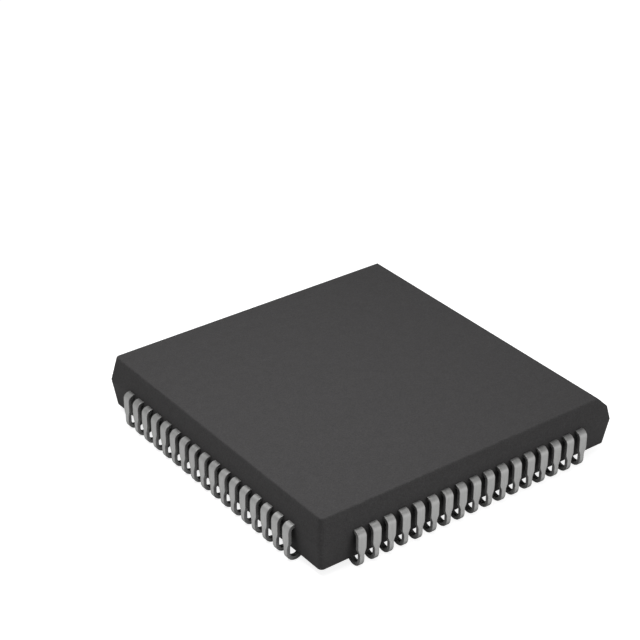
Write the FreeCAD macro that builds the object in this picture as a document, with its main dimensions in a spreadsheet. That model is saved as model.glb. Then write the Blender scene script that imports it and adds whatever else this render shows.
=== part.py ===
"""A square J-leaded plastic chip carrier with 68 leads, 17 on each side.

Frame: +Z is up, the origin is at the middle of the seating plane, which the
lowest points of the leads touch. The bevelled side of the body faces +X.
Every length is in millimetres.
"""
import FreeCAD, Part

import math
import os

import Sketcher

# Driving dimensions: name in the sheet, value, what it measures.
DIMENSIONS = [
    ("lead_count", 17, "leads on each side"),
    ("lead_pitch", 1.15, "from one lead to the next"),
    ("corner_margin", 2.9, "from the middle of a row's end lead to the body's side"),
    ("overall_height", 4.33, "top face above the seating plane"),
    ("parting_height", 2.515, "parting line above the seating plane"),
    ("upper_draft_run", 0.33, "how far a wall leans in from the parting line to the top"),
    ("lower_draft_run", 0.27, "how far a wall leans in from the parting line to the underside"),
    ("corner_radius", 0.32, "rounding of the body's upright corners"),
    ("bevel_corner_radius", 0.13, "the same for the two corners beside the bevel"),
    ("top_edge_radius", 0.12, "rounding of the top face's edges"),
    ("bevel_width", 0.70, "what the bevel takes off the top face, at 45 degrees"),
    ("frame_thickness", 0.275, "sheet that the leads and the die pad are stamped from"),
    ("lead_width", 0.63, "lead where it leaves the body and down its leg"),
    ("foot_width", 0.34, "lead where it curls under the body"),
    ("neck_top", 1.48, "height at which a lead starts to narrow"),
    ("neck_bottom", 1.12, "height at which a lead has its narrow width"),
    ("lead_wall_gap", 0.20, "between the body's widest line and a lead's leg"),
    ("bend_radius", 0.17, "inside of the bend from the shoulder to the leg"),
    ("hook_radius", 0.70, "outside of the curl under the body"),
    ("curl_room", 0.275, "between the inside of the curl and the underside, straight up"),
    ("tip_gap", 0.05, "between a lead's tip and the underside"),
    ("finger_straight", 0.90, "lead that stays straight inside the body"),
    ("finger_corner_gap", 0.62, "from the die pad's corner to the middle of the end finger's tip"),
    ("finger_tip_width", 0.28, "inner finger at its tip"),
    ("finger_gap", 0.90, "between the die pad and the finger tips"),
    ("die_width", 8.0, "side of the square silicon die"),
    ("die_thickness", 0.38, "silicon die"),
    ("attach_thickness", 0.03, "layer that holds the die on its pad"),
    ("attach_fillet", 0.10, "what that layer stands out around the die"),
    ("pad_margin", 1.10, "die pad beyond the die, on each side"),
    ("pad_downset", 0.25, "die pad below the plane of the leads"),
    ("tie_bar_width", 0.50, "strap from each corner of the die pad"),
    ("tie_bar_slope_run", 0.60, "stretch over which a tie bar climbs to the leads' plane"),
    ("tie_bar_cover", 0.60, "moulding left beyond the end of a tie bar"),
    ("wire_diameter", 0.033, "gold bond wire"),
    ("bond_corner_gap", 0.64, "from the die's corner to the first bond, along the edge"),
    ("bond_inset", 0.15, "from the die's edge to the bonds"),
    ("stitch_inset", 0.30, "from a finger's tip to its bond"),
    ("loop_height", 0.20, "rise of a bond wire over the die"),
]

# Sizes that follow from the driving ones: name in the sheet, formula.
DERIVED = [
    ("row_length", "(lead_count - 1) * lead_pitch"),
    ("body_width", "row_length + 2 * corner_margin"),
    ("top_width", "body_width - 2 * upper_draft_run"),
    ("underside_width", "body_width - 2 * lower_draft_run"),
    ("stand_off", "frame_thickness + curl_room"),
    ("frame_top", "parting_height + frame_thickness"),
    ("leg_inside", "body_width / 2 + lead_wall_gap"),
    ("lead_reach", "leg_inside + frame_thickness"),
    ("shoulder_radius", "bend_radius + frame_thickness"),
    ("finger_root", "body_width / 2 - finger_straight"),
    ("pad_width", "die_width + 2 * pad_margin"),
    ("pad_bottom", "parting_height - pad_downset"),
    ("pad_top", "pad_bottom + frame_thickness"),
    ("die_bottom", "pad_top + attach_thickness"),
    ("die_top", "die_bottom + die_thickness"),
    ("finger_tip", "pad_width / 2 + finger_gap"),
    ("finger_tip_pitch", "(pad_width - 2 * finger_corner_gap) / (lead_count - 1)"),
    ("bond_pitch", "(die_width - 2 * bond_corner_gap) / (lead_count - 1)"),
]

WIRE_SIDES = 8
SIDES = [("leads_right", 0), ("leads_back", 90), ("leads_left", 180), ("leads_front", 270)]

Vector = FreeCAD.Vector
UP = Vector(0, 0, 1)


def fill_sheet(doc):
    """Write both lists into a spreadsheet, with the names as aliases."""
    sheet = doc.addObject("Spreadsheet::Sheet", "Sizes")
    for row, (alias, value, note) in enumerate(DIMENSIONS, start=1):
        sheet.set(f"A{row}", alias)
        sheet.set(f"B{row}", str(value))
        sheet.set(f"C{row}", note)
        sheet.setAlias(f"B{row}", alias)
    for row, (alias, formula) in enumerate(DERIVED, start=len(DIMENSIONS) + 1):
        sheet.set(f"A{row}", alias)
        sheet.set(f"B{row}", "=" + formula)
        sheet.setAlias(f"B{row}", alias)
    doc.recompute()
    return sheet


def bind(target, bindings):
    """Bind properties of a document object to formulas over the sheet's names."""
    for prop, formula in bindings.items():
        target.setExpression(prop, formula)


def new_body(doc, label):
    """An empty body that may hold several separate solids."""
    body = doc.addObject("PartDesign::Body", label)
    body.Label = label
    body.AllowCompound = True
    return body


def origin_feature(body, role):
    """A plane or axis of the body's own origin."""
    return next(item for item in body.Origin.OriginFeatures if item.Role == role)


def new_sketch(body, name, plane, offset=None):
    """A sketch on an origin plane; offset is a formula for its distance along the plane's normal."""
    sketch = body.newObject("Sketcher::SketchObject", name)
    sketch.AttachmentSupport = [(origin_feature(body, plane), "")]
    sketch.MapMode = "FlatFace"
    if offset:
        sketch.setExpression("AttachmentOffset.Base.z", offset)
    return sketch


def dimension(sketch, name, constraint, formula):
    """Add a named dimension to a sketch and bind it to a formula."""
    index = sketch.addConstraint(constraint)
    sketch.renameConstraint(index, name)
    sketch.setExpression(f"Constraints.{name}", formula)


def closed_outline(sketch, corners):
    """Draw a closed polygon whose corners are pairs of formulas, each bound to its own corner."""
    first = sketch.GeometryCount
    points = []
    for across, along in corners:
        points.append(Vector(sketch.evalExpression(across), sketch.evalExpression(along), 0))
    for start, end in zip(points, points[1:] + points[:1]):
        sketch.addGeometry(Part.LineSegment(start, end))
    for k, (across, along) in enumerate(corners):
        edge = first + k
        following = first + (k + 1) % len(points)
        sketch.addConstraint(Sketcher.Constraint("Coincident", edge, 2, following, 1))
        dimension(sketch, f"across_{edge}",
                  Sketcher.Constraint("DistanceX", -1, 1, edge, 1, points[k].x), across)
        dimension(sketch, f"along_{edge}",
                  Sketcher.Constraint("DistanceY", -1, 1, edge, 1, points[k].y), along)


def rounded_square(body, name, width, width_formula, radii, height_formula):
    """A square sketch with rounded corners, centred on the Z axis at a height.

    The radii are those of the corner after each side, anticlockwise from the side on +X.
    """
    sketch = new_sketch(body, name, "XY_Plane", height_formula)
    half = width / 2
    quarter = math.pi / 2
    for k, radius in enumerate(radii):
        turn = FreeCAD.Rotation(UP, 90 * k)
        start = turn.multVec(Vector(half, radii[k - 1] - half, 0))
        end = turn.multVec(Vector(half, half - radius, 0))
        centre = turn.multVec(Vector(half - radius, half - radius, 0))
        sketch.addGeometry(Part.LineSegment(start, end))
        circle = Part.Circle(centre, UP, radius)
        sketch.addGeometry(Part.ArcOfCircle(circle, quarter * k, quarter * (k + 1)))
    for k in range(8):
        sketch.addConstraint(Sketcher.Constraint("Tangent", k, 2, (k + 1) % 8, 1))
    for line, way in ((0, "Vertical"), (2, "Horizontal"), (4, "Vertical"), (6, "Horizontal")):
        sketch.addConstraint(Sketcher.Constraint(way, line))
    for arc, name, formula in ((1, "bevel_rounding", "Sizes.bevel_corner_radius"),
                               (3, "rounding", "Sizes.corner_radius")):
        opposite = 8 - arc
        sketch.addConstraint(Sketcher.Constraint("Equal", arc, opposite))
        radius = radii[arc // 2]
        dimension(sketch, name, Sketcher.Constraint("Radius", arc, radius), formula)
    right = Sketcher.Constraint("DistanceX", -1, 1, 0, 1, half)
    left = Sketcher.Constraint("DistanceX", 4, 1, -1, 1, half)
    back = Sketcher.Constraint("DistanceY", -1, 1, 2, 1, half)
    front = Sketcher.Constraint("DistanceY", 6, 1, -1, 1, half)
    for side, constraint in (("right", right), ("left", left), ("back", back), ("front", front)):
        dimension(sketch, side, constraint, width_formula + " / 2")
    return sketch


def make_mould_form(doc, size):
    """Outside of the moulding: two drafted halves that meet at the parting line, and the bevel."""
    body = new_body(doc, "mould_form")
    tight = size("bevel_corner_radius")
    wide = size("corner_radius")
    radii = [tight, wide, wide, tight]
    underside = rounded_square(
        body, "Underside", size("underside_width"), "Sizes.underside_width", radii, "Sizes.stand_off")
    parting = rounded_square(
        body, "PartingLine", size("body_width"), "Sizes.body_width", radii, "Sizes.parting_height")
    top = rounded_square(
        body, "TopFace", size("top_width"), "Sizes.top_width", radii, "Sizes.overall_height")
    halves = body.newObject("PartDesign::AdditiveLoft", "DraftedHalves")
    halves.Profile = underside
    halves.Sections = [parting, top]
    halves.Ruled = True
    doc.recompute()

    # The bevel runs along the whole top edge on +X.
    inner = "Sizes.top_width / 2 - Sizes.bevel_width"
    outer = "Sizes.top_width / 2 + Sizes.bevel_width"
    top_level = "Sizes.overall_height"
    wedge = new_sketch(body, "BevelSection", "XZ_Plane")
    closed_outline(wedge, [
        (inner, top_level), (outer, top_level), (outer, top_level + " - 2 * Sizes.bevel_width")])
    bevel = body.newObject("PartDesign::Pocket", "Bevel")
    bevel.Profile = wedge
    bevel.Type = "ThroughAll"
    bevel.Midplane = True
    doc.recompute()

    rounding = body.newObject("PartDesign::Fillet", "TopEdges")
    rounding.Base = (bevel, edges_at_height(bevel.Shape, size("overall_height")))
    rounding.setExpression("Radius", "Sizes.top_edge_radius")
    doc.recompute()
    return body


def edges_at_height(shape, height):
    """Names of the edges that lie wholly at one height."""
    names = []
    for number, edge in enumerate(shape.Edges, start=1):
        box = edge.BoundBox
        if abs(box.ZMin - height) < 1e-4 and abs(box.ZMax - height) < 1e-4:
            names.append(f"Edge{number}")
    return names


def draw_lead_profile(sketch, size):
    """Side view of one lead: shoulder, bend, leg and curl, as two parallel lines a sheet apart.

    The curl stops where its inner edge comes within tip_gap of the underside.
    """
    thickness = size("frame_thickness")
    reach = size("lead_reach")
    root = size("finger_root")
    frame_top = size("frame_top")
    bend = size("shoulder_radius")
    hook = size("hook_radius")
    tip_sine = (hook - size("stand_off") + size("tip_gap")) / (hook - thickness)
    tip_angle = math.pi + math.asin(tip_sine)
    bend_centre = Vector(reach - bend, frame_top - bend, 0)
    hook_centre = Vector(reach - hook, hook, 0)

    def arc(centre, radius, start, end):
        return Part.ArcOfCircle(Part.Circle(centre, UP, radius), start, end)

    def line(x0, y0, x1, y1):
        return Part.LineSegment(Vector(x0, y0, 0), Vector(x1, y1, 0))

    tip = Vector(math.cos(tip_angle), math.sin(tip_angle), 0)
    outer_tip = hook_centre + tip * hook
    inner_tip = hook_centre + tip * (hook - thickness)
    full = 2 * math.pi
    quarter = math.pi / 2
    shoulder_top = sketch.addGeometry(line(root, frame_top, reach - bend, frame_top))
    bend_outer = sketch.addGeometry(arc(bend_centre, bend, 0, quarter))
    leg_outer = sketch.addGeometry(line(reach, frame_top - bend, reach, hook))
    hook_outer = sketch.addGeometry(arc(hook_centre, hook, tip_angle, full))
    tip_end = sketch.addGeometry(line(outer_tip.x, outer_tip.y, inner_tip.x, inner_tip.y))
    hook_inner = sketch.addGeometry(arc(hook_centre, hook - thickness, tip_angle, full))
    leg_inner = sketch.addGeometry(line(reach - thickness, hook, reach - thickness, frame_top - bend))
    bend_inner = sketch.addGeometry(arc(bend_centre, bend - thickness, 0, quarter))
    shoulder_bottom = sketch.addGeometry(
        line(reach - bend, frame_top - thickness, root, frame_top - thickness))
    root_end = sketch.addGeometry(line(root, frame_top - thickness, root, frame_top))

    start, end, centre = 1, 2, 3
    tangents = [
        (shoulder_top, end, bend_outer, end),
        (bend_outer, start, leg_outer, start),
        (leg_outer, end, hook_outer, end),
        (hook_inner, end, leg_inner, start),
        (leg_inner, end, bend_inner, start),
        (bend_inner, end, shoulder_bottom, start),
    ]
    joints = [
        (hook_outer, start, tip_end, start),
        (tip_end, end, hook_inner, start),
        (shoulder_bottom, end, root_end, start),
        (root_end, end, shoulder_top, start),
        (bend_inner, centre, bend_outer, centre),
        (hook_inner, centre, hook_outer, centre),
    ]
    for joint in tangents:
        sketch.addConstraint(Sketcher.Constraint("Tangent", *joint))
    for joint in joints:
        sketch.addConstraint(Sketcher.Constraint("Coincident", *joint))
    for edge, way in ((shoulder_top, "Horizontal"), (leg_outer, "Vertical"),
                      (shoulder_bottom, "Horizontal"), (root_end, "Vertical")):
        sketch.addConstraint(Sketcher.Constraint(way, edge))
    sketch.addConstraint(Sketcher.Constraint("PointOnObject", hook_outer, centre, tip_end))
    dimension(sketch, "bend_outside", Sketcher.Constraint("Radius", bend_outer, bend),
              "Sizes.shoulder_radius")
    dimension(sketch, "bend_inside", Sketcher.Constraint("Radius", bend_inner, bend - thickness),
              "Sizes.bend_radius")
    dimension(sketch, "hook_radius", Sketcher.Constraint("Radius", hook_outer, hook),
              "Sizes.hook_radius")
    dimension(sketch, "hook_inside", Sketcher.Constraint("Radius", hook_inner, hook - thickness),
              "Sizes.hook_radius - Sizes.frame_thickness")
    dimension(sketch, "reach", Sketcher.Constraint("DistanceX", -1, 1, leg_outer, start, reach),
              "Sizes.lead_reach")
    dimension(sketch, "level", Sketcher.Constraint("DistanceY", -1, 1, shoulder_top, start, frame_top),
              "Sizes.frame_top")
    dimension(sketch, "hook_level", Sketcher.Constraint("DistanceY", -1, 1, hook_outer, centre, hook),
              "Sizes.hook_radius")
    dimension(sketch, "root", Sketcher.Constraint("DistanceX", -1, 1, shoulder_top, start, root),
              "Sizes.finger_root")
    dimension(sketch, "tip_level",
              Sketcher.Constraint("DistanceY", -1, 1, tip_end, end, inner_tip.y),
              "Sizes.stand_off - Sizes.tip_gap")


def draw_neck_cuts(sketch):
    """Front view of what is taken off both sides of the first lead below its wide part."""
    for sign in ("-", "+"):
        middle = f"-Sizes.row_length / 2 {sign} "
        wide = middle + "Sizes.lead_width / 2"
        narrow = middle + "Sizes.foot_width / 2"
        outside = middle + "Sizes.lead_width"
        below = "-Sizes.frame_thickness"
        closed_outline(sketch, [
            (wide, "Sizes.neck_top"),
            (narrow, "Sizes.neck_bottom"),
            (narrow, below),
            (outside, below),
            (outside, "Sizes.neck_top"),
        ])


def make_lead_row(doc, size):
    """The leads of the +X side: each a stamped strip with its inner finger, bent and curled under."""
    body = new_body(doc, "lead_row")
    profile = new_sketch(body, "LeadProfile", "XZ_Plane", "Sizes.row_length / 2")
    draw_lead_profile(profile, size)
    strip = body.newObject("PartDesign::Pad", "LeadStrip")
    strip.Profile = profile
    strip.Midplane = True
    strip.setExpression("Length", "Sizes.lead_width")
    doc.recompute()

    cuts = new_sketch(body, "NeckOutlines", "YZ_Plane")
    draw_neck_cuts(cuts)
    neck = body.newObject("PartDesign::Pocket", "NarrowedFoot")
    neck.Profile = cuts
    neck.Type = "ThroughAll"
    neck.Midplane = True
    doc.recompute()

    row = body.newObject("PartDesign::LinearPattern", "LeadRow")
    row.Originals = [strip, neck]
    row.Direction = (origin_feature(body, "Y_Axis"), [""])
    bind(row, {"Length": "Sizes.row_length", "Occurrences": "Sizes.lead_count"})
    body.Tip = row
    doc.recompute()

    # The fingers fan in from the row to the closer spacing around the die pad.
    outlines = new_sketch(body, "FingerOutlines", "XY_Plane", "Sizes.parting_height")
    count = round(size("lead_count"))
    for k in range(count):
        step = k - (count - 1) / 2
        root = f"{step} * Sizes.lead_pitch"
        tip = f"{step} * Sizes.finger_tip_pitch"
        closed_outline(outlines, [
            ("Sizes.finger_root", root + " - Sizes.lead_width / 2"),
            ("Sizes.finger_root", root + " + Sizes.lead_width / 2"),
            ("Sizes.finger_tip", tip + " + Sizes.finger_tip_width / 2"),
            ("Sizes.finger_tip", tip + " - Sizes.finger_tip_width / 2"),
        ])
    fingers = body.newObject("PartDesign::Pad", "Fingers")
    fingers.Profile = outlines
    fingers.setExpression("Length", "Sizes.frame_thickness")
    doc.recompute()
    return body


def place_lead_row(doc, row, label, turn):
    """One side's leads: the row turned to that side."""
    side = doc.addObject("Part::Compound", label)
    side.Label = label
    side.Links = [row]
    side.Placement = FreeCAD.Placement(Vector(), FreeCAD.Rotation(UP, turn))
    return side


def make_die_pad(doc):
    """The square pad under the die, with a tie bar that climbs from each corner."""
    body = new_body(doc, "die_pad")
    low_side = "-Sizes.pad_width / 2"
    high_side = "Sizes.pad_width / 2"
    square = new_sketch(body, "PadOutline", "XY_Plane", "Sizes.pad_bottom")
    closed_outline(square, [
        (low_side, low_side), (high_side, low_side), (high_side, high_side), (low_side, high_side)])
    plate = body.newObject("PartDesign::Pad", "PadPlate")
    plate.Profile = square
    plate.setExpression("Length", "Sizes.frame_thickness")
    doc.recompute()

    # A tie bar seen from the side, in the upright plane through two corners.
    start = "(Sizes.pad_width / 2 - Sizes.tie_bar_width) * sqrt(2)"
    foot = "Sizes.pad_width / 2 * sqrt(2)"
    crest = foot + " + Sizes.tie_bar_slope_run"
    end = "(Sizes.body_width / 2 - Sizes.tie_bar_cover) * sqrt(2)"
    section = new_sketch(body, "TieBarSection", "XZ_Plane")
    section.AttachmentOffset = FreeCAD.Placement(Vector(), FreeCAD.Rotation(Vector(0, 1, 0), 45))
    closed_outline(section, [
        (start, "Sizes.pad_bottom"),
        (foot, "Sizes.pad_bottom"),
        (crest, "Sizes.parting_height"),
        (end, "Sizes.parting_height"),
        (end, "Sizes.frame_top"),
        (crest, "Sizes.frame_top"),
        (foot, "Sizes.pad_top"),
        (start, "Sizes.pad_top"),
    ])
    bar = body.newObject("PartDesign::Pad", "TieBar")
    bar.Profile = section
    bar.Midplane = True
    bar.setExpression("Length", "Sizes.tie_bar_width")
    doc.recompute()
    bars = body.newObject("PartDesign::PolarPattern", "TieBars")
    bars.Originals = [bar]
    bars.Axis = (origin_feature(body, "Z_Axis"), [""])
    bars.Angle = 360
    bars.Occurrences = 4
    body.Tip = bars
    doc.recompute()
    return body


def make_plate(doc, label, width, thickness, bottom):
    """A square plate centred on the Z axis, all three sizes given as formulas."""
    plate = doc.addObject("Part::Box", label)
    plate.Label = label
    bind(plate, {
        "Length": width,
        "Width": width,
        "Height": thickness,
        "Placement.Base.x": f"-({width}) / 2",
        "Placement.Base.y": f"-({width}) / 2",
        "Placement.Base.z": bottom,
    })
    return plate


def bond_wire(radius, bond, crest, stitch):
    """One wire: straight up from the die, then down to its finger, with a mitre between the two.

    The section is a regular polygon. Both ends are level, so that they lie on the metal they join.
    """
    rise = UP
    fall = (stitch - crest).normalize()
    mitre = (rise + fall).normalize()
    ring = []
    for k in range(WIRE_SIDES):
        angle = 2 * math.pi * (k + 0.5) / WIRE_SIDES
        ring.append(bond + Vector(radius * math.cos(angle), radius * math.sin(angle), 0))
    bends = []
    feet = []
    for point in ring:
        climb = (crest - point).dot(mitre) / rise.dot(mitre)
        bends.append(point + rise * climb)
    for point in bends:
        feet.append(point + fall * ((stitch.z - point.z) / fall.z))
    faces = [Part.Face(Part.makePolygon(loop + loop[:1])) for loop in (ring, feet)]
    for k in range(WIRE_SIDES):
        after = (k + 1) % WIRE_SIDES
        for low, high in ((ring, bends), (bends, feet)):
            loop = [low[k], low[after], high[after], high[k]]
            faces.append(Part.Face(Part.makePolygon(loop + loop[:1])))
    return Part.Solid(Part.Shell(faces))


def make_bond_wires(doc, size):
    """A wire from the die to every finger, worked out in code because each has its own run."""
    count = round(size("lead_count"))
    radius = size("wire_diameter") / 2
    bond_line = size("die_width") / 2 - size("bond_inset")
    stitch_line = size("finger_tip") + size("stitch_inset")
    wires = []
    for _, turn in SIDES:
        around = FreeCAD.Rotation(UP, turn)
        for k in range(count):
            step = k - (count - 1) / 2
            bond = Vector(bond_line, step * size("bond_pitch"), size("die_top"))
            crest = bond + UP * size("loop_height")
            stitch_side = finger_middle(size, step, stitch_line)
            stitch = Vector(stitch_line, stitch_side, size("frame_top"))
            points = [around.multVec(point) for point in (bond, crest, stitch)]
            wires.append(bond_wire(radius, *points))
    feature = doc.addObject("Part::Feature", "bond_wires")
    feature.Label = "bond_wires"
    feature.Shape = Part.Compound(wires)
    feature.Placement = FreeCAD.Placement()
    return feature


def finger_middle(size, step, distance):
    """Where a finger's middle line is, sideways, at a distance from the die's centre."""
    share = (distance - size("finger_tip")) / (size("finger_root") - size("finger_tip"))
    pitch = size("finger_tip_pitch") + share * (size("lead_pitch") - size("finger_tip_pitch"))
    return step * pitch


def make_mould_body(doc, form, inserts):
    """The moulding: its outside less everything that it was moulded around."""
    held = doc.addObject("Part::Compound", "Inserts")
    held.Links = inserts
    mould = doc.addObject("Part::Cut", "mould_body")
    mould.Label = "mould_body"
    mould.Base = form
    mould.Tool = held
    doc.recompute()
    return mould


def check(doc, parts):
    """Stop if any object failed, or if a sub-part has no sound solid."""
    for item in doc.Objects:
        if "Invalid" in item.State or "Error" in item.State:
            raise RuntimeError(f"{item.Label} did not compute")
    for part in parts:
        if part.Shape.isNull() or not part.Shape.isValid() or not part.Shape.Solids:
            raise RuntimeError(f"{part.Label} has no sound solid")


def main():
    """Build the chip and write one STEP file for each sub-part."""
    doc = FreeCAD.newDocument("ChipCarrier")
    sheet = fill_sheet(doc)

    def size(name):
        return float(sheet.get(name))

    row = make_lead_row(doc, size)
    sides = [place_lead_row(doc, row, label, turn) for label, turn in SIDES]
    die_pad = make_die_pad(doc)
    attach = make_plate(doc, "die_attach", "Sizes.die_width + 2 * Sizes.attach_fillet",
                        "Sizes.attach_thickness", "Sizes.pad_top")
    die = make_plate(doc, "silicon_die", "Sizes.die_width", "Sizes.die_thickness", "Sizes.die_bottom")
    wires = make_bond_wires(doc, size)
    form = make_mould_form(doc, size)
    inserts = sides + [die_pad, attach, die, wires]
    mould = make_mould_body(doc, form, inserts)

    parts = [mould] + inserts
    check(doc, parts)
    os.makedirs("parts", exist_ok=True)
    for part in parts:
        part.Shape.exportStep(f"parts/{part.Label}.step")
        box = part.Shape.BoundBox
        print(f"{part.Label}: {len(part.Shape.Solids)} solids, {part.Shape.Volume:.4f} mm3, "
              f"z {box.ZMin:.3f} to {box.ZMax:.3f}, x {box.XMin:.3f} to {box.XMax:.3f}")


main()
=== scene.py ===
"""Looks of a plastic chip carrier with curled leads on all four sides.

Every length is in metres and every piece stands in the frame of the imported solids: +Z up, the
origin at the middle of the seating plane, the bevelled side of the body towards +X.
"""

import logging
import math
from dataclasses import dataclass
from enum import Enum

import bpy
import numpy as np
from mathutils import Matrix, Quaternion, Vector


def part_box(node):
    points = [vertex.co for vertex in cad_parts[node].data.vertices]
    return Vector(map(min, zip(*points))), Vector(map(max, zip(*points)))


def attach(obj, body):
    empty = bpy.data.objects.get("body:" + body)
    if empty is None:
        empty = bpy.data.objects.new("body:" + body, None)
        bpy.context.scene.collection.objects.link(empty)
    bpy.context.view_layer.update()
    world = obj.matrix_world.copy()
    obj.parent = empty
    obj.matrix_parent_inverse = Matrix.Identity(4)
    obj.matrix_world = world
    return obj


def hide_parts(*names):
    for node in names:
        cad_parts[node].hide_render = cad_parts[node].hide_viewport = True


LOG = logging.getLogger("chip_carrier")
MM = 0.001
BODY = "root"
LEAD_CHART = "along_lead"
# How far a support point stands from an arc, to keep the flat beside it flat.
SUPPORT = 0.02 * MM
# Values between which most of a noise lies.
NOISE_ENDS = (0.3, 0.7)
# Share of open directions deep in a recess, and on a surface that counts as open, for the painted
# shade.
PAINTED_SHADE_ENDS = (0.35, 0.85)
# The same share seen from inside the piece, at an edge and on a flat, for the painted edge
# highlight.
HIGHLIGHT_ENDS = (0.5, 1.0)
OCCLUSION_SAMPLES = 4

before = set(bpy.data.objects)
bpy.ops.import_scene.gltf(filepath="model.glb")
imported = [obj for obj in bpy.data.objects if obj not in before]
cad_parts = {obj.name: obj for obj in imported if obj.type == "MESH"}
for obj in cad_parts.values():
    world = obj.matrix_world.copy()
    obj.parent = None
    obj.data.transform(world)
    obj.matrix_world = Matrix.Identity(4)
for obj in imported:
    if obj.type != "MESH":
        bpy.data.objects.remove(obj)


class Side(Enum):
    """The four lead rows: the CAD node of each, and its quarter turns from the row at +X."""

    RIGHT = ("leads_right", 0)
    BACK = ("leads_back", 1)
    LEFT = ("leads_left", 2)
    FRONT = ("leads_front", 3)

    @property
    def node(self) -> str:
        """Name of the row's CAD node."""
        return self.value[0]

    @property
    def quarters(self) -> int:
        """Number of quarter turns from the row at +X."""
        return self.value[1]

    @property
    def turn(self) -> float:
        """Angle of the row about the upright axis, in radians."""
        return self.quarters * math.pi / 2


def arc_corner(corner: np.ndarray, before: np.ndarray, after: np.ndarray, radius: float,
               steps: int) -> np.ndarray:
    """Round one corner of a polyline with an arc that is tangent to both its sides.

    The arc starts radius * tan(turn / 2) before the corner. A point on it lies
    radius * sin(angle) along the first side and radius * (1 - cos(angle)) off it.

    Args:
        corner: The corner point.
        before: The point before it.
        after: The point after it.
        radius: Radius of the arc.
        steps: Number of steps along the arc.

    Returns:
        The arc's points between two support points, which keep the flats beside it flat.
    """
    along = (corner - before) / np.linalg.norm(corner - before)
    onward = (after - corner) / np.linalg.norm(after - corner)
    turn = math.acos(float(np.clip(along @ onward, -1, 1)))
    inward = (onward - along * math.cos(turn)) / math.sin(turn)
    reach = radius * math.tan(turn / 2)
    start = corner - along * reach
    end = corner + onward * reach
    angle = np.linspace(0, turn, steps + 1)[:, None]
    arc = start + radius * (np.sin(angle) * along + (1 - np.cos(angle)) * inward)
    return np.vstack([start - along * SUPPORT, arc, end + onward * SUPPORT])


def rounded_polyline(points: np.ndarray, radii: list[float], steps: int) -> np.ndarray:
    """Round every inner corner of an open polyline.

    Args:
        points: The polyline's corners, one row each.
        radii: One radius for each inner corner.
        steps: Number of steps along each arc.

    Returns:
        The rounded polyline with its two ends.
    """
    pieces = [points[:1]]
    for k, radius in enumerate(radii, start=1):
        pieces.append(arc_corner(points[k], points[k - 1], points[k + 1], radius, steps))
    pieces.append(points[-1:])
    return np.vstack(pieces)


def tube_faces(rows: int, columns: int) -> np.ndarray:
    """Quads of a grid whose rows close on themselves, numbered row by row.

    Args:
        rows: Number of closed rows of points.
        columns: Number of points in a row.

    Returns:
        One row of four point numbers for each quad.
    """
    row = np.arange(rows - 1)[:, None] * columns
    column = np.arange(columns)[None, :]
    after = (column + 1) % columns
    corners = [row + column, row + after, row + columns + after, row + columns + column]
    return np.stack(corners, axis=-1).reshape(-1, 4)


def closed_tubes(name: str, rings: np.ndarray, chart: np.ndarray | None = None) -> bpy.types.Object:
    """Make one mesh of tubes that are closed at both ends with a fan around a middle point.

    Args:
        name: Name of the new object.
        rings: Points as tubes x rings x points of a ring x 3. Seen from the tube's end, looking
            back along it, a ring runs anticlockwise.
        chart: Two surface coordinates for each point, in the same order, or None.

    Returns:
        The new object, smooth shaded, at the origin.
    """
    tubes, rows, columns, _ = rings.shape
    count = rows * columns
    poles = rings[:, [0, -1]].mean(axis=2)
    points = np.concatenate([rings.reshape(tubes, count, 3), poles], axis=1)
    quads = tube_faces(rows, columns)
    column = np.arange(columns)
    after = (column + 1) % columns
    last = count - columns
    start_fan = np.stack([after, column, np.full(columns, count)], axis=-1)
    end_fan = np.stack([last + column, last + after, np.full(columns, count + 1)], axis=-1)
    shift = np.arange(tubes)[:, None, None] * (count + 2)
    all_quads = (quads[None] + shift).reshape(-1, 4)
    all_fans = (np.concatenate([start_fan, end_fan])[None] + shift).reshape(-1, 3)

    mesh = bpy.data.meshes.new(name)
    mesh.from_pydata(points.reshape(-1, 3).tolist(), [], all_quads.tolist() + all_fans.tolist())
    mesh.polygons.foreach_set("use_smooth", np.ones(len(mesh.polygons), bool))
    if chart is not None:
        flat = chart.reshape(tubes, count, 2)
        ends = np.concatenate([flat, flat[:, [0, -1]]], axis=1).reshape(-1, 2)
        loops = np.empty(len(mesh.loops), np.int32)
        mesh.loops.foreach_get("vertex_index", loops)
        layer = mesh.uv_layers.new(name=LEAD_CHART)
        layer.data.foreach_set("uv", ends[loops].ravel().astype(np.float32))
    mesh.validate()
    mesh.update()
    piece = bpy.data.objects.new(name, mesh)
    bpy.context.scene.collection.objects.link(piece)
    return piece


def math_node(tree: bpy.types.NodeTree, operation: str, first: bpy.types.NodeSocket | float,
              second: bpy.types.NodeSocket | float) -> bpy.types.NodeSocket:
    """Add a sum, product or maximum of two values.

    Args:
        tree: The node tree.
        operation: Blender's name of the operation.
        first: A socket or a number.
        second: A socket or a number.

    Returns:
        The result.
    """
    node = tree.nodes.new("ShaderNodeMath")
    node.operation = operation
    for value, socket in zip((first, second), node.inputs):
        if isinstance(value, float):
            socket.default_value = value
        else:
            tree.links.new(value, socket)
    return node.outputs["Value"]


def map_range(tree: bpy.types.NodeTree, value: bpy.types.NodeSocket,
              source: tuple[float, float], target: tuple[float, float]) -> bpy.types.NodeSocket:
    """Map one range evenly onto another. A value beyond an end stays at that end.

    Args:
        tree: The node tree.
        value: The value.
        source: The two ends of its own range.
        target: What the two ends become.

    Returns:
        The mapped value.
    """
    node = tree.nodes.new("ShaderNodeMapRange")
    for key, number in zip(("From Min", "From Max", "To Min", "To Max"), source + target):
        node.inputs[key].default_value = number
    tree.links.new(value, node.inputs["Value"])
    return node.outputs["Result"]


@dataclass(frozen=True)
class Pattern:
    """A noise and what it does to a colour.

    Attributes:
        grain: Size of a lump, in metres.
        layers: Number of finer layers.
        low: Factor on the colour at the noise's low end.
        high: Factor on the colour at its high end.
        falloff: Strength of each finer layer against the last.
    """

    grain: float
    layers: float
    low: float
    high: float
    falloff: float = 0.5


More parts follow.
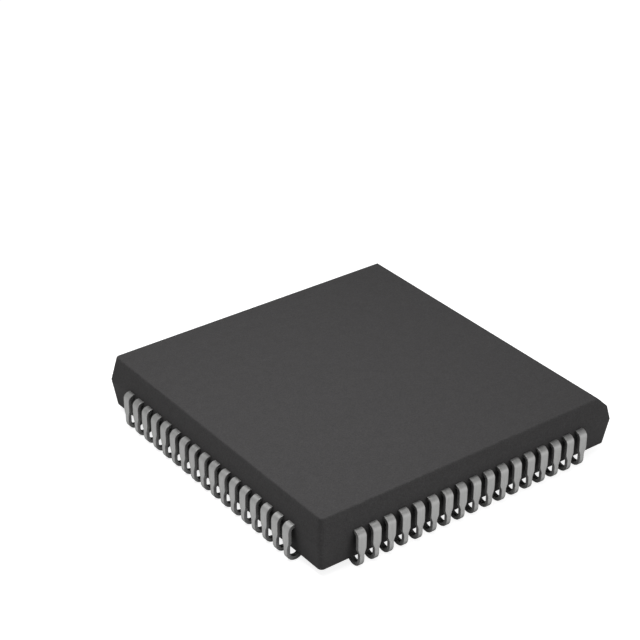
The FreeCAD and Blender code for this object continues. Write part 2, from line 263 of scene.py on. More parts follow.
class NodeMaterial:
    """A node material on the Principled shader, with short ways to add the nodes used here."""

    def __init__(self, name: str) -> None:
        """Start a material that holds only its shader and output.

        Args:
            name: Name of the material.
        """
        self.material = bpy.data.materials.new(name)
        self.material.use_nodes = True
        self.tree = self.material.node_tree
        self.shader = next(n for n in self.tree.nodes if n.type == "BSDF_PRINCIPLED")

    def add(self, kind: str, **settings: object) -> bpy.types.Node:
        """Add a node and set its properties.

        Args:
            kind: Blender's name of the node type.
            **settings: Properties of the node, or values of its inputs by their names.

        Returns:
            The new node.
        """
        node = self.tree.nodes.new(kind)
        for key, value in settings.items():
            if key in node.inputs:
                node.inputs[key].default_value = value
            else:
                setattr(node, key, value)
        return node

    def link(self, source: bpy.types.NodeSocket, target: bpy.types.NodeSocket) -> None:
        """Join an output to an input."""
        self.tree.links.new(source, target)

    def constants(self, **values: float) -> None:
        """Set the shader's own sockets, named with underscores in place of spaces."""
        for key, value in values.items():
            self.shader.inputs[key.replace("_", " ")].default_value = value

    def place(self, stretch: tuple[float, float, float] = (1, 1, 1),
              chart: str | None = None) -> bpy.types.NodeSocket:
        """Coordinates for a pattern.

        Args:
            stretch: Scale of the pattern along each coordinate.
            chart: Name of a UV layer, or None for object coordinates.

        Returns:
            The scaled coordinates.
        """
        if chart is None:
            source = self.add("ShaderNodeTexCoord").outputs["Object"]
        else:
            source = self.add("ShaderNodeUVMap", uv_map=chart).outputs["UV"]
        mapping = self.add("ShaderNodeMapping", Scale=stretch)
        self.link(source, mapping.inputs["Vector"])
        return mapping.outputs["Vector"]

    def noise(self, place: bpy.types.NodeSocket, pattern: Pattern) -> bpy.types.NodeSocket:
        """Noise whose lumps are about one grain across.

        Args:
            place: Coordinates of the pattern, in metres.
            pattern: Its grain and layers.

        Returns:
            The noise, from 0 to 1.
        """
        node = self.add("ShaderNodeTexNoise", Scale=1 / pattern.grain, Detail=pattern.layers,
                        Roughness=pattern.falloff)
        self.link(place, node.inputs["Vector"])
        return node.outputs["Fac"]

    def tone(self, noise: bpy.types.NodeSocket, pattern: Pattern) -> bpy.types.NodeSocket:
        """Factor on the colour that a pattern's noise gives."""
        return map_range(self.tree, noise, NOISE_ENDS, (pattern.low, pattern.high))

    def roughen(self, noise: bpy.types.NodeSocket, roughness: tuple[float, float]) -> None:
        """Vary the surface's roughness between two values with a noise."""
        rough = map_range(self.tree, noise, NOISE_ENDS, roughness)
        self.link(rough, self.shader.inputs["Roughness"])

    def tint(self, color: tuple[float, float, float], factor: bpy.types.NodeSocket) -> None:
        """Colour the surface with a colour times a varying factor.

        Args:
            color: The colour at a factor of 1.
            factor: The varying factor.
        """
        node = self.add("ShaderNodeVectorMath", operation="SCALE")
        node.inputs[0].default_value = color
        self.link(factor, node.inputs["Scale"])
        self.link(node.outputs["Vector"], self.shader.inputs["Base Color"])

    def multiply(self, *factors: bpy.types.NodeSocket) -> bpy.types.NodeSocket:
        """Product of two or more values.

        Args:
            *factors: The values.

        Returns:
            Their product.
        """
        product = factors[0]
        for factor in factors[1:]:
            product = math_node(self.tree, "MULTIPLY", product, factor)
        return product

    def painted_shade(self, reach: float, low: float) -> bpy.types.NodeSocket:
        """Painted shade: a darker colour in narrow recesses, where neighbouring surfaces stand
        close.

        Args:
            reach: How near a surface must be to count, in metres.
            low: Factor in the deepest recess. Open surfaces have a factor of 1.

        Returns:
            The factor.
        """
        # Painted shade: the colour darkens where the occlusion finds neighbouring surfaces close
        # by.
        node = self.add("ShaderNodeAmbientOcclusion", samples=OCCLUSION_SAMPLES, Distance=reach)
        return map_range(self.tree, node.outputs["AO"], PAINTED_SHADE_ENDS, (low, 1.0))

    def painted_edge_highlight(self, reach: float, high: float) -> bpy.types.NodeSocket:
        """Painted highlight: a lighter colour along outer edges, found by looking for the next face
        from the inside.

        Args:
            reach: How far from an edge the tone begins to change, in metres.
            high: Factor at the edge. Flat surfaces have a factor of 1.

        Returns:
            The factor.
        """
        # Painted highlight: the colour lightens where the next face is found close by from the
        # inside.
        node = self.add("ShaderNodeAmbientOcclusion", samples=OCCLUSION_SAMPLES, inside=True,
                        only_local=True, Distance=reach)
        return map_range(self.tree, node.outputs["AO"], HIGHLIGHT_ENDS, (high, 1.0))

    def relief(self, height: bpy.types.NodeSocket, depth: float, strength: float,
               under: bpy.types.NodeSocket | None = None) -> bpy.types.NodeSocket:
        """Bump the surface by a height pattern.

        Args:
            height: The pattern, from 0 to 1.
            depth: Height of the relief, in metres.
            strength: Share of it that shows.
            under: The normal of a relief that this one lies on, or None.

        Returns:
            The bumped normal, which the shader also takes.
        """
        node = self.add("ShaderNodeBump", Distance=depth, Strength=strength)
        self.link(height, node.inputs["Height"])
        if under is not None:
            self.link(under, node.inputs["Normal"])
        self.link(node.outputs["Normal"], self.shader.inputs["Normal"])
        return node.outputs["Normal"]


@dataclass(frozen=True)
class MouldCompound:
    """Charcoal moulding compound with the fine grain of a spark-eroded mould."""

    color: tuple[float, float, float] = (0.058, 0.0562, 0.057)
    ior: float = 1.5
    specular_level: float = 0.2
    grain: Pattern = Pattern(grain=0.09 * MM, layers=3.0, low=0.74, high=1.26, falloff=0.6)
    speckle: Pattern = Pattern(grain=0.2 * MM, layers=1.0, low=0.95, high=1.05)
    mottle: Pattern = Pattern(grain=0.7 * MM, layers=2.0, low=0.97, high=1.03)
    grain_depth: float = 0.006 * MM
    grain_strength: float = 0.5
    roughness: tuple[float, float] = (0.62, 0.78)
    # Painted shade in the recesses between and under the leads: how far it reaches and how dark it
    # gets.
    painted_shade_reach: float = 0.7 * MM
    painted_shade_tone: float = 0.30
    # Painted highlight along the outer edges: how far it reaches and how light it gets.
    highlight_reach: float = 0.15 * MM
    highlight_tone: float = 1.20

    def material(self) -> bpy.types.Material:
        """Build the material.

        Returns:
            The material.
        """
        made = NodeMaterial("mould_compound")
        made.constants(Metallic=0.0, IOR=self.ior, Specular_IOR_Level=self.specular_level)
        place = made.place()
        grain = made.noise(place, self.grain)
        factor = made.multiply(
            made.tone(grain, self.grain),
            made.tone(made.noise(place, self.speckle), self.speckle),
            made.tone(made.noise(place, self.mottle), self.mottle),
            # painted highlight along the outer edges
            made.painted_edge_highlight(self.highlight_reach, self.highlight_tone),
            # painted shade in the recesses around the leads
            made.painted_shade(self.painted_shade_reach, self.painted_shade_tone),
        )
        made.tint(self.color, factor)
        made.roughen(grain, self.roughness)
        made.relief(grain, self.grain_depth, self.grain_strength)
        return made.material


@dataclass(frozen=True)
class TinPlate:
    """Matt tin plate with faint streaks down the lead from forming."""

    color: tuple[float, float, float] = (0.46, 0.46, 0.455)
    streak: Pattern = Pattern(grain=0.05 * MM, layers=2.0, low=0.88, high=1.10)
    streak_length: float = 1.6 * MM
    streak_depth: float = 0.003 * MM
    crystal: Pattern = Pattern(grain=0.05 * MM, layers=2.0, low=0.96, high=1.04)
    crystal_depth: float = 0.0015 * MM
    relief_strength: float = 0.4
    roughness: tuple[float, float] = (0.52, 0.66)
    # Painted shade inside the curls and between the leads: how far it reaches and how dark it gets.
    painted_shade_reach: float = 0.7 * MM
    painted_shade_tone: float = 0.10

    def material(self) -> bpy.types.Material:
        """Build the material.

        Returns:
            The material.
        """
        made = NodeMaterial("tin_plate")
        made.constants(Metallic=1.0)
        stretch = (1.0, self.streak.grain / self.streak_length, 1.0)
        streaks = made.noise(made.place(stretch, LEAD_CHART), self.streak)
        crystals = made.noise(made.place(), self.crystal)
        factor = made.multiply(made.tone(streaks, self.streak), made.tone(crystals, self.crystal),
                               # the last factor is painted shade inside the curls and between the
                               # leads
                               made.painted_shade(self.painted_shade_reach, self.painted_shade_tone))
        made.tint(self.color, factor)
        made.roughen(streaks, self.roughness)
        under = made.relief(streaks, self.streak_depth, self.relief_strength)
        made.relief(crystals, self.crystal_depth, self.relief_strength, under)
        return made.material


@dataclass(frozen=True)
class InnerFinish:
    """A plain finish for a piece that is sealed inside the moulding."""

    name: str
    color: tuple[float, float, float]
    metallic: float
    roughness: float
    pattern: Pattern = Pattern(grain=0.08 * MM, layers=3.0, low=0.93, high=1.07)
    roughness_spread: float = 0.15
    relief_depth: float = 0.002 * MM
    relief_strength: float = 0.3

    def material(self) -> bpy.types.Material:
        """Build the material.

        Returns:
            The material.
        """
        made = NodeMaterial(self.name)
        made.constants(Metallic=self.metallic)
        grain = made.noise(made.place(), self.pattern)
        made.tint(self.color, made.tone(grain, self.pattern))
        made.roughen(grain, (self.roughness * (1 - self.roughness_spread),
                             self.roughness * (1 + self.roughness_spread)))
        made.relief(grain, self.relief_depth, self.relief_strength)
        return made.material


WIRE_PATTERN = Pattern(grain=0.02 * MM, layers=3.0, low=0.93, high=1.07)
INNER_FINISHES: dict[str, InnerFinish] = {
    "die_pad": InnerFinish("copper_alloy", (0.72, 0.43, 0.30), metallic=1.0, roughness=0.35),
    "die_attach": InnerFinish("silver_adhesive", (0.60, 0.60, 0.58), metallic=0.3, roughness=0.55),
    "silicon_die": InnerFinish("polished_silicon", (0.12, 0.13, 0.16), metallic=0.6,
                               roughness=0.12),
    "bond_wires": InnerFinish("gold", (0.83, 0.62, 0.22), metallic=1.0, roughness=0.20,
                              pattern=WIRE_PATTERN),
}


@dataclass
class MouldedBody:
    """The moulding: walls that lean in from the parting line, a bevel along +X, soft edges.

    Attributes:
        bevel_end_radius: Radius that the corners beside the bevel keep at least.
        flat_share: How far out the inner ring of a flat runs, as a share of the flat.
        level_decimals: Decimals of a metre at which two heights count as one level.
    """

    upper_draft_run: float = 0.33 * MM
    lower_draft_run: float = 0.27 * MM
    bevel_width: float = 0.70 * MM
    corner_radius: float = 0.32 * MM
    bevel_corner_radius: float = 0.13 * MM
    bevel_end_radius: float = 0.03 * MM
    top_edge_radius: float = 0.12 * MM
    parting_radius: float = 0.10 * MM
    bottom_edge_radius: float = 0.06 * MM
    edge_steps: int = 5
    corner_steps: int = 8
    frame_thickness: float = 0.275 * MM
    flat_share: float = 0.5
    level_decimals: int = 9

    def __post_init__(self) -> None:
        """Read the moulding's box, and the parting line from the top of the lead rows."""
        low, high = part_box("mould_body")
        self.half = high.y
        self.bottom = low.z
        self.top = high.z
        self.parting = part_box(Side.FRONT.node)[1].z - self.frame_thickness

    def plain_profile(self) -> np.ndarray:
        """Outline of a plain side, as distance from the axis and height, from the top down.

        It runs out along the top, down the upper wall to the parting line, down the lower wall
        and back along the underside, with an arc at each corner.

        Returns:
            One row for each point.
        """
        corners = np.array([
            [0.0, self.top],
            [self.half - self.upper_draft_run, self.top],
            [self.half, self.parting],
            [self.half - self.lower_draft_run, self.bottom],
            [0.0, self.bottom],
        ])
        radii = [self.top_edge_radius, self.parting_radius, self.bottom_edge_radius]
        return rounded_polyline(corners, radii, self.edge_steps)

    def bevelled_profile(self) -> np.ndarray:
        """Outline of the bevelled side, as distance from the axis and height, from the top down.

        The bevel falls one for one from the top's edge until it meets the upper wall. The wall
        falls wall_height over upper_draft_run, so they meet where
        drop = bevel_width / (1 - upper_draft_run / wall_height).

        Returns:
            One row for each point.
        """
        wall_height = self.top - self.parting
        edge = self.half - self.upper_draft_run - self.bevel_width
        drop = self.bevel_width / (1 - self.upper_draft_run / wall_height)
        corners = np.array([
            [0.0, self.top],
            [edge, self.top],
            [edge + drop, self.top - drop],
            [self.half, self.parting],
            [self.half - self.lower_draft_run, self.bottom],
            [0.0, self.bottom],
        ])
        radii = [self.top_edge_radius, self.top_edge_radius, self.parting_radius,
                 self.bottom_edge_radius]
        return rounded_polyline(corners, radii, self.edge_steps)

    def reach_at(self, profile: np.ndarray, levels: np.ndarray) -> np.ndarray:
        """How far a profile reaches at each level.

        Args:
            profile: Distance and height, from the top down.
            levels: Heights.

        Returns:
            The largest distance of the profile at each height, between its two flats.
        """
        wall = profile[self.wall_part(profile)]
        return np.interp(levels, wall[::-1, 1], wall[::-1, 0])

    def wall_part(self, profile: np.ndarray) -> slice:
        """The part of a profile between its two flats.

        Args:
            profile: Distance and height, from the top down.

        Returns:
            The rows from the end of the top flat to the start of the bottom flat.
        """
        hair = 10.0 ** -self.level_decimals
        first = int(np.flatnonzero(profile[:, 1] > self.top - hair)[-1])
        last = int(np.flatnonzero(profile[:, 1] < self.bottom + hair)[0])
        return slice(first, last + 1)

    def rings(self) -> np.ndarray:
        """Level sections of the moulding, each a rectangle with rounded corners.

        A corner's points are its middle plus the radius times (cos, sin) over a quarter turn.
        Its radius shrinks by as much as the edge roundings take off the wall at that level. The
        two corners beside the bevel are tighter, and shrink by as much as the bevel takes off,
        down to the small radius of the bevel's ends. One more ring closes in on the middle of
        each of the two flats, and one keeps each flat's edge flat.

        Returns:
            Points as rings x points of a ring x 3, from the underside up.
        """
        plain = self.plain_profile()
        bevelled = self.bevelled_profile()
        heights = np.concatenate([plain[self.wall_part(plain), 1],
                                  bevelled[self.wall_part(bevelled), 1]])
        levels = np.unique(heights.round(self.level_decimals))
        side = self.reach_at(plain, levels)
        right = self.reach_at(bevelled, levels)
        sharp = np.interp(levels, [self.bottom, self.parting, self.top],
                          [self.half - self.lower_draft_run, self.half,
                           self.half - self.upper_draft_run])
        radius = self.corner_radius - (sharp - side)
        near_bevel = self.bevel_corner_radius - (sharp - side) - (side - right)
        near_bevel = np.maximum(near_bevel, self.bevel_end_radius)

        quarter = np.linspace(0, math.pi / 2, self.corner_steps + 1)
        corners = [(1, -1, 3, near_bevel), (1, 1, 0, near_bevel), (-1, 1, 1, radius),
                   (-1, -1, 2, radius)]
        parts = []
        for x_sign, y_sign, quarters, size in corners:
            angle = quarters * math.pi / 2 + quarter
            width = right if x_sign > 0 else side
            middle = np.stack([x_sign * (width - size), y_sign * (side - size)], axis=-1)
            arc = np.stack([np.cos(angle), np.sin(angle)], axis=-1)
            points = middle[:, None] + size[:, None, None] * arc[None]
            lead_in = np.array([np.sin(angle[0]), -np.cos(angle[0])]) * SUPPORT
            lead_out = np.array([-np.sin(angle[-1]), np.cos(angle[-1])]) * SUPPORT
            parts.append(np.concatenate(
                [points[:, :1] + lead_in, points, points[:, -1:] + lead_out], axis=1))
        outline = np.concatenate(parts, axis=1)
        height = np.broadcast_to(levels[:, None, None], outline.shape[:2] + (1,))
        walls = np.concatenate([outline, height], axis=2)
        closer = np.array([1 - SUPPORT / self.half, self.flat_share])
        inward = np.stack([closer, closer, np.ones(2)], axis=-1)[:, None]
        under = walls[:1] * inward[::-1]
        over = walls[-1:] * inward
        return np.concatenate([under, walls, over])

    def build(self) -> bpy.types.Object:
        """Make the moulding's surface, dress it and let it stand for its CAD node.

        Returns:
            The new piece.
        """
        piece = closed_tubes("moulding", self.rings()[None])
        piece.data.materials.append(MouldCompound().material())
        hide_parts("mould_body")
        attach(piece, BODY)
        LOG.info("%s: %d faces", piece.name, len(piece.data.polygons))
        return piece


@dataclass
class LeadRow:
    """One side's leads: strips that run out of the moulding, down, and curl under it.

    Attributes:
        side: Where the row is.
        neck_stations: Stations over each of the neck's two soft ends.
        blend_samples: Heights over which a width is averaged there.
        tip_closing: Share of the tip's rounding by which the last section closes in.
        least_edge: Smallest edge radius at the tip, as a share of edge_radius.
        support_share: Most of a section's half size that a support point may take.
        lead_apart: Distance between two leads' patterns along the chart.
        row_apart: Number of such distances between two rows' patterns.
    """

    side: Side
    count: int = 17
    pitch: float = 1.15 * MM
    thickness: float = 0.275 * MM
    width: float = 0.63 * MM
    foot_width: float = 0.34 * MM
    neck_top: float = 1.48 * MM
    neck_bottom: float = 1.12 * MM
    neck_blend: float = 0.07 * MM
    shoulder_radius: float = 0.445 * MM
    hook_radius: float = 0.70 * MM
    tip_level: float = 0.50 * MM
    finger_length: float = 5.20 * MM
    finger_tip_width: float = 0.28 * MM
    finger_tip_pitch: float = 0.56 * MM
    edge_radius: float = 0.03 * MM
    tip_rounding: float = 0.05 * MM
    bend_steps: int = 8
    neck_stations: int = 5
    blend_samples: int = 9
    curl_steps: int = 18
    edge_steps: int = 4
    tip_steps: int = 4
    tip_closing: float = 0.98
    least_edge: float = 0.1
    support_share: float = 0.2
    lead_apart: float = 9.7 * MM
    row_apart: int = 30

    def __post_init__(self) -> None:
        """Read how far the row reaches out, in and up from its CAD node's box."""
        low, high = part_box(self.side.node)
        self.reach = max(abs(low.x), abs(high.x), abs(low.y), abs(high.y))
        along_x = self.side in (Side.LEFT, Side.RIGHT)
        self.finger_tip = min(abs(low.x), abs(high.x)) if along_x else min(abs(low.y), abs(high.y))
        self.finger_root = self.finger_tip + self.finger_length
        self.frame_top = high.z

    def centre_line(self) -> tuple[np.ndarray, np.ndarray]:
        """The middle line of a lead, seen from its side, from the finger's tip to the foot's tip.

        It is a straight run out, a quarter turn down, a straight leg, and an arc under the body.
        The arc's angle is a half turn less
        asin((hook_radius - tip_level) / (hook_radius - thickness)).

        Returns:
            The points as distance from the axis and height, and the way's direction at each.
        """
        middle = self.thickness / 2
        level = self.frame_top - middle
        leg = self.reach - middle
        tip, root = self.finger_tip, self.finger_root
        bend = self.shoulder_radius - middle
        hook = self.hook_radius - middle
        inner = self.hook_radius - self.thickness
        sweep = math.pi - math.asin((self.hook_radius - self.tip_level) / inner)
        wall = leg - self.shoulder_radius

        outward = np.array([tip, tip + SUPPORT, root - SUPPORT, root, root + SUPPORT,
                            wall + middle - SUPPORT])
        run = np.stack([outward, np.full(outward.size, level)], axis=-1)
        down = np.linspace(0, math.pi / 2, self.bend_steps + 1)
        bend_middle = np.array([leg - bend, level - bend])
        turn = bend_middle + bend * np.stack([np.sin(down), np.cos(down)], axis=-1)
        top, bottom, soft = self.neck_top, self.neck_bottom, self.neck_blend
        heights = np.concatenate([
            [level - bend - SUPPORT],
            np.linspace(top + soft, top - soft, self.neck_stations),
            np.linspace(bottom + soft, bottom - soft, self.neck_stations),
            [self.hook_radius + SUPPORT],
        ])
        straight = np.stack([np.full(heights.size, leg), heights], axis=-1)
        under = np.linspace(0, sweep, self.curl_steps + 1)
        hook_middle = np.array([leg - hook, self.hook_radius])
        curl = hook_middle + hook * np.stack([np.cos(under), -np.sin(under)], axis=-1)
        points = np.vstack([run, turn, straight, curl])
        angles = np.concatenate([np.zeros(outward.size), -down, np.full(heights.size, -math.pi / 2),
                                 -math.pi / 2 - under])
        return points, np.stack([np.cos(angles), np.sin(angles)], axis=-1)

    def widths(self, points: np.ndarray) -> np.ndarray:
        """Width of the lead at each point of its middle line.

        The finger widens evenly from its tip to its root. Down the leg the width falls evenly
        between the neck's two heights, and both ends of that slope are softened over
        neck_blend by averaging the slope over a window of that half width.

        Args:
            points: The middle line, as distance from the axis and height.

        Returns:
            One width for each point.
        """
        finger = np.interp(points[:, 0], [self.finger_tip, self.finger_root],
                           [self.finger_tip_width, self.width])
        window = np.linspace(-self.neck_blend, self.neck_blend, self.blend_samples)
        shifted = points[:, 1][:, None] + window[None, :]
        leg = np.interp(shifted, [self.neck_bottom, self.neck_top],
                        [self.foot_width, self.width]).mean(axis=1)
        return np.minimum(finger, leg)

    def round_tip(self, points: np.ndarray, ways: np.ndarray, widths: np.ndarray
                  ) -> tuple[np.ndarray, np.ndarray, np.ndarray, np.ndarray]:
        """Replace a lead's end by stations that close in on a quarter circle.

        A station at an angle lies tip_rounding * sin(angle) past the start of the rounding and
        is smaller on every side by tip_rounding * (1 - cos(angle)).

        Args:
            points: The middle line.
            ways: Its direction at each point.
            widths: The lead's width at each point.

        Returns:
            The longer middle line, directions, widths, and how much each section closes in.
        """
        angle = np.linspace(0, math.pi / 2, self.tip_steps + 1)[1:]
        start = points[-1] - ways[-1] * self.tip_rounding
        last = start + np.sin(angle)[:, None] * ways[-1] * self.tip_rounding
        close = self.tip_rounding * (1 - np.cos(angle)) * self.tip_closing
        line = np.vstack([points[:-1], start, last])
        line_ways = np.vstack([ways, np.repeat(ways[-1:], self.tip_steps, axis=0)])
        line_widths = np.concatenate([widths, np.repeat(widths[-1:], self.tip_steps)])
        inset = np.concatenate([np.zeros(len(points)), close])
        return line, line_ways, line_widths, inset

    def section(self, half_width: np.ndarray, half_height: np.ndarray, radius: np.ndarray
                ) -> np.ndarray:
        """Cross sections, each a rectangle with rounded corners and a support point by each arc.

        A corner's points are its middle plus the radius times (cos, sin) over a quarter turn.

        Args:
            half_width: Half of each section's width.
            half_height: Half of its thickness.
            radius: Its edge radius.

        Returns:
            Points as sections x points x 2, across and off the strip.
        """
        quarter = np.linspace(0, math.pi / 2, self.edge_steps + 1)
        parts = []
        for quarters, (across, off) in enumerate(((1, 1), (-1, 1), (-1, -1), (1, -1))):
            angle = quarters * math.pi / 2 + quarter
            arc = np.stack([np.cos(angle), np.sin(angle)], axis=-1)
            middle = np.stack([across * (half_width - radius), off * (half_height - radius)],
                              axis=-1)
            points = middle[:, None] + radius[:, None, None] * arc
            room = self.support_share * np.minimum(half_width, half_height)[:, None, None]
            support = np.minimum(SUPPORT, room)
            before = points[:, :1] + np.array([arc[0, 1], -arc[0, 0]]) * support
            after = points[:, -1:] + np.array([-arc[-1, 1], arc[-1, 0]]) * support
            parts.append(np.concatenate([before, points, after], axis=1))
        return np.concatenate(parts, axis=1)

    def rings(self) -> tuple[np.ndarray, np.ndarray]:
        """Points and chart of all the row's leads.

        A point is the middle line's point, plus its section's height along the line's normal,
        plus its section's width and the lead's own offset sideways. The offset of a finger's
        middle goes evenly from the tips' spacing to the row's.

        Returns:
            Points as leads x stations x section x 3, and chart as leads x stations x section x 2.
        """
        line, ways = self.centre_line()
        line, ways, width, inset = self.round_tip(line, ways, self.widths(line))
        half_width = width / 2 - inset
        half_height = np.full(width.size, self.thickness / 2) - inset
        radius = np.maximum(self.edge_radius - inset, self.least_edge * self.edge_radius)
        section = self.section(half_width, half_height, radius)
        normal = np.stack([-ways[:, 1], ways[:, 0]], axis=-1)
        profile = line[:, None] + section[..., 1:] * normal[:, None]

        step = np.arange(self.count) - (self.count - 1) / 2
        spacing = np.interp(line[:, 0], [self.finger_tip, self.finger_root],
                            [self.finger_tip_pitch, self.pitch])
        spacing[np.cumsum(line[:, 1] < self.frame_top - self.thickness) > 0] = self.pitch
        sideways = step[:, None, None] * spacing[None, :, None] + section[None, ..., 0]
        outward = np.broadcast_to(profile[None, ..., 0], sideways.shape)
        height = np.broadcast_to(profile[None, ..., 1], sideways.shape)
        cosine, sine = round(math.cos(self.side.turn)), round(math.sin(self.side.turn))
        points = np.stack([outward * cosine - sideways * sine, outward * sine + sideways * cosine,
                           height], axis=-1)

        travelled = np.concatenate([[0], np.cumsum(np.linalg.norm(np.diff(line, axis=0), axis=1))])
        place = step[:, None, None] + self.row_apart * self.side.quarters
        along = travelled[None, :, None] + self.lead_apart * place
        chart = np.stack([sideways, np.broadcast_to(along, sideways.shape)], axis=-1)
        return points[:, :, ::-1], chart[:, :, ::-1]

    def build(self, finish: bpy.types.Material) -> bpy.types.Object:
        """Make the row's leads, dress them and let them stand for their CAD node.

        Args:
            finish: The leads' material.

        Returns:
            The new piece.
        """
        points, chart = self.rings()
        piece = closed_tubes(self.side.node.replace("leads", "curled_leads"), points, chart)
        piece.data.materials.append(finish)
        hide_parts(self.side.node)
        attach(piece, BODY)
        LOG.info("%s: %d leads, %d faces", piece.name, self.count, len(piece.data.polygons))
        return piece


@dataclass
class SealedPieces:
    """What the moulding holds inside: the CAD nodes stay as they are and get their finishes."""

    def dress(self) -> None:
        """Give each sealed CAD node its material."""
        for name, finish in INNER_FINISHES.items():
            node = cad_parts[name]
            node.data.materials.clear()
            node.data.materials.append(finish.material())
            LOG.info("%s: dressed with %s", name, finish.name)


@dataclass(frozen=True)
class SoftBox:
    """A square soft light aimed at the chip.

    Attributes:
        name: Name of the lamp.
        turn: Direction it stands in, in degrees from +X.
        rise: Its height above the horizon as seen from the chip, in degrees.
        distance: Distance from the chip, in metres.
        size: Length of its side, in metres.
        level: Brightness of a white card at the chip that faces it, where 1 is white.
    """

    name: str
    turn: float
    rise: float
    distance: float
    size: float
    level: float

    def hang(self) -> None:
        """Place the lamp. A square lamp of power P gives a level of P / (pi * distance)^2."""
        light = bpy.data.lights.new(self.name, "AREA")
        light.shape = "SQUARE"
        light.size = self.size
        light.energy = self.level * (math.pi * self.distance) ** 2
        turn, rise = math.radians(self.turn), math.radians(self.rise)
        place = self.distance * Vector((math.cos(rise) * math.cos(turn),
                                        math.cos(rise) * math.sin(turn), math.sin(rise)))
        holder = bpy.data.objects.new(self.name, light)
        holder.location = place
        holder.rotation_euler = (-place).to_track_quat("-Z", "Y").to_euler()
        bpy.context.scene.collection.objects.link(holder)


SOFT_BOXES: tuple[SoftBox, ...] = (
    SoftBox("overhead_box", turn=-170, rise=75, distance=0.047, size=0.038, level=0.76),
    SoftBox("front_right_box", turn=-60, rise=12, distance=0.28, size=0.10, level=0.12),
)


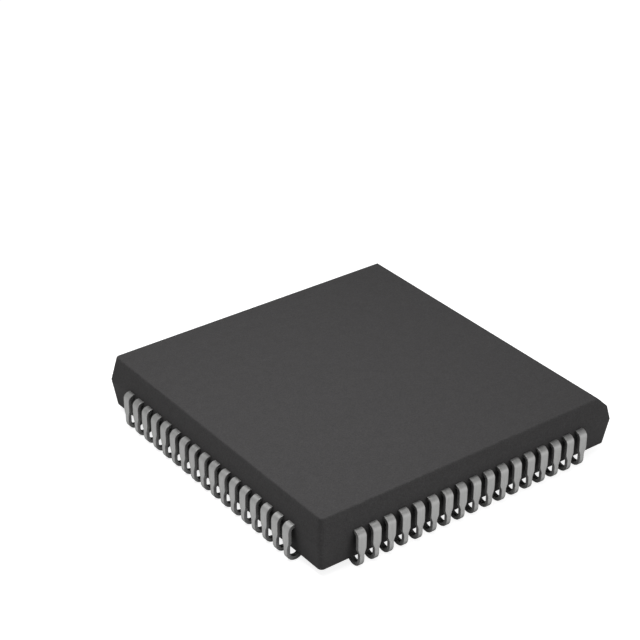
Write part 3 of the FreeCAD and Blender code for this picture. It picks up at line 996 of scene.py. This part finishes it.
@dataclass
class Studio:
    """A white floor, a soft room, soft boxes and a camera at the photographed angle.

    Attributes:
        floor_color: The card's own colour, which takes the shadow.
        floor_white: What is added to it for the camera, so that it shows white.
        floor_shine: Brightness of the floor in reflections, beside the chip.
        shade_start: Distance from the chip's middle out to which no floor shines in reflections, a
            painted shadow.
        shade_end: Distance from which all of it does.
        room_left: Strength of the room towards -X.
        room_right: Its strength towards +X.
        room_shine_low: Its strength in reflections, at the horizon and below.
        room_shine_high: The same in directions that rise by room_shine_rise or more.
        room_shine_rise: The upright part of a direction of length 1.
        lens: In millimetres, as the sensor is.
        camera_roll: In degrees.
    """

    floor_half: float = 1.5
    floor_color: tuple[float, float, float] = (0.66, 0.66, 0.66)
    floor_white: float = 0.85
    floor_shine: float = 0.35
    shade_start: float = 11.5 * MM
    shade_end: float = 14.0 * MM
    room_left: float = 0.03
    room_right: float = 0.50
    room_shine_low: float = 1.0
    room_shine_high: float = 0.25
    room_shine_rise: float = 0.5
    lens: float = 104.099
    sensor: float = 36.0
    camera_place: tuple[float, float, float] = (-65.738 * MM, -83.385 * MM, 69.619 * MM)
    camera_aim: tuple[float, float, float] = (4.726 * MM, 10.389 * MM, 2.2 * MM)
    camera_roll: float = -0.293
    clip_start: float = 1 * MM
    clip_end: float = 10.0

    @staticmethod
    def reflected(tree: bpy.types.NodeTree, path: bpy.types.Node) -> bpy.types.NodeSocket:
        """A value of 1 for glossy and transmission rays."""
        return math_node(tree, "MAXIMUM", path.outputs["Is Glossy Ray"],
                         path.outputs["Is Transmission Ray"])

    def reflected_glow_with_painted_shadow(self, tree: bpy.types.NodeTree) -> bpy.types.NodeSocket:
        """Painted shadow in the floor's glow in reflections: dark under the chip, and bright beside
        it.

        The larger of the two distances along X and Y from the chip's middle is stretched from
        the edge of its shade to the end of it.

        Args:
            tree: The floor's node tree.

        Returns:
            The brightness.
        """
        place = tree.nodes.new("ShaderNodeTexCoord")
        spans = tree.nodes.new("ShaderNodeVectorMath")
        spans.operation = "ABSOLUTE"
        parts = tree.nodes.new("ShaderNodeSeparateXYZ")
        tree.links.new(place.outputs["Object"], spans.inputs[0])
        tree.links.new(spans.outputs["Vector"], parts.inputs["Vector"])
        farther = math_node(tree, "MAXIMUM", parts.outputs["X"], parts.outputs["Y"])
        shade = (self.shade_start, self.shade_end)
        return map_range(tree, farther, shade, (0.0, self.floor_shine))

    def floor(self) -> None:
        """Lay the floor, a matt card that shows white and keeps a faint shadow."""
        half = self.floor_half
        corners = [(-half, -half, 0), (half, -half, 0), (half, half, 0), (-half, half, 0)]
        mesh = bpy.data.meshes.new("floor")
        mesh.from_pydata(corners, [], [(0, 1, 2, 3)])
        card = bpy.data.objects.new("floor", mesh)
        bpy.context.scene.collection.objects.link(card)
        material = bpy.data.materials.new("white_card")
        material.use_nodes = True
        tree = material.node_tree
        tree.nodes.clear()
        diffuse = tree.nodes.new("ShaderNodeBsdfDiffuse")
        diffuse.inputs["Color"].default_value = (*self.floor_color, 1)
        white = tree.nodes.new("ShaderNodeEmission")
        path = tree.nodes.new("ShaderNodeLightPath")
        direct = math_node(tree, "MULTIPLY", path.outputs["Is Camera Ray"], self.floor_white)
        # The floor's glow in reflections, with a painted shadow under the chip.
        mirrored = math_node(tree, "MULTIPLY", self.reflected(tree, path),
                             self.reflected_glow_with_painted_shadow(tree))
        both = tree.nodes.new("ShaderNodeAddShader")
        output = tree.nodes.new("ShaderNodeOutputMaterial")
        tree.links.new(math_node(tree, "ADD", direct, mirrored), white.inputs["Strength"])
        tree.links.new(diffuse.outputs["BSDF"], both.inputs[0])
        tree.links.new(white.outputs["Emission"], both.inputs[1])
        tree.links.new(both.outputs["Shader"], output.inputs["Surface"])
        mesh.materials.append(material)

    def room(self) -> None:
        """Light the room.

        It is dim, and less so towards +X. The camera sees it white, and reflections have levels
        of their own.
        """
        world = bpy.data.worlds.new("room")
        world.use_nodes = True
        tree = world.node_tree
        background = next(n for n in tree.nodes if n.type == "BACKGROUND")
        direction = tree.nodes.new("ShaderNodeTexCoord")
        parts = tree.nodes.new("ShaderNodeSeparateXYZ")
        tree.links.new(direction.outputs["Generated"], parts.inputs["Vector"])
        dim = map_range(tree, parts.outputs["X"], (-1.0, 1.0), (self.room_left, self.room_right))
        shine = map_range(tree, parts.outputs["Z"], (0.0, self.room_shine_rise),
                          (self.room_shine_low, self.room_shine_high))
        path = tree.nodes.new("ShaderNodeLightPath")
        in_mirrors = tree.nodes.new("ShaderNodeMix")
        to_camera = tree.nodes.new("ShaderNodeMix")
        to_camera.inputs["B"].default_value = 1.0
        tree.links.new(self.reflected(tree, path), in_mirrors.inputs["Factor"])
        tree.links.new(dim, in_mirrors.inputs["A"])
        tree.links.new(shine, in_mirrors.inputs["B"])
        tree.links.new(path.outputs["Is Camera Ray"], to_camera.inputs["Factor"])
        tree.links.new(in_mirrors.outputs["Result"], to_camera.inputs["A"])
        tree.links.new(to_camera.outputs["Result"], background.inputs["Strength"])
        background.inputs["Color"].default_value = (1, 1, 1, 1)
        bpy.context.scene.world = world

    def camera(self) -> None:
        """Set up the camera at the photographed angle."""
        data = bpy.data.cameras.new("photo_view")
        data.lens = self.lens
        data.sensor_width = self.sensor
        data.clip_start = self.clip_start
        data.clip_end = self.clip_end
        camera = bpy.data.objects.new("photo_view", data)
        bpy.context.scene.collection.objects.link(camera)
        camera.location = self.camera_place
        way = Vector(self.camera_aim) - Vector(self.camera_place)
        roll = Quaternion(way, math.radians(self.camera_roll))
        camera.rotation_euler = (roll @ way.to_track_quat("-Z", "Y")).to_euler()
        bpy.context.scene.camera = camera

    def build(self) -> None:
        """Set the whole stage."""
        self.floor()
        self.room()
        for box in SOFT_BOXES:
            box.hang()
        self.camera()
        bpy.context.scene.view_settings.view_transform = "Standard"
        LOG.info("studio: floor, room, %d soft boxes and camera", len(SOFT_BOXES))


def main() -> None:
    """Build every piece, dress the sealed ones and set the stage."""
    logging.basicConfig(level=logging.INFO, format="%(name)s: %(message)s")
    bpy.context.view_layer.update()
    MouldedBody().build()
    tin = TinPlate().material()
    for side in Side:
        LeadRow(side).build(tin)
    SealedPieces().dress()
    Studio().build()


if __name__ == "__main__":
    main()
